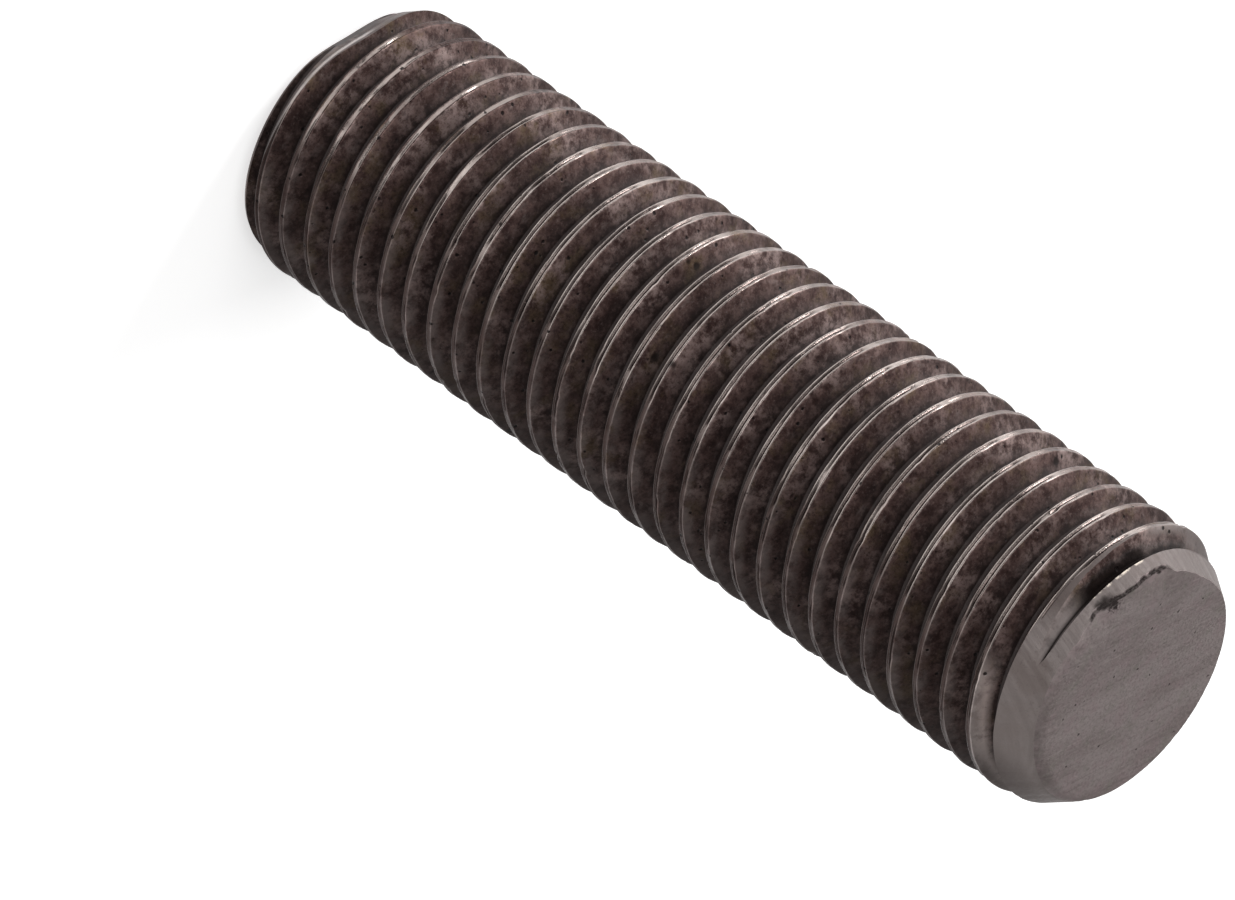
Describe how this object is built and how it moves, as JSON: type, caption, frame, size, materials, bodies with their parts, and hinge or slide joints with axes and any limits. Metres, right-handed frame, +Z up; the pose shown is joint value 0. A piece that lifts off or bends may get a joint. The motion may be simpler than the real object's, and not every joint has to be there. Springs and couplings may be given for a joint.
{
  "type": "double ended stud",
  "caption": "Short dark steel stud with a right-hand fine thread over its whole length, chamfered at both flat ends, so that either end takes a nut or a tapped hole.",
  "frame": {"origin": "middle of the lower end face, on which the stud stands", "axes": "+Z up along the stud's axis; the groove of the thread crosses the lower end's plane at 180 degrees from +X"},
  "size_m": [0.011, 0.011, 0.0391],
  "materials": {
    "dark_steel": "dark brown-grey oiled steel with rolled thread, worn bright along the crests"
  },
  "bodies": {
    "root": {"stud": "dark_steel"}
  },
  "joints": []
}
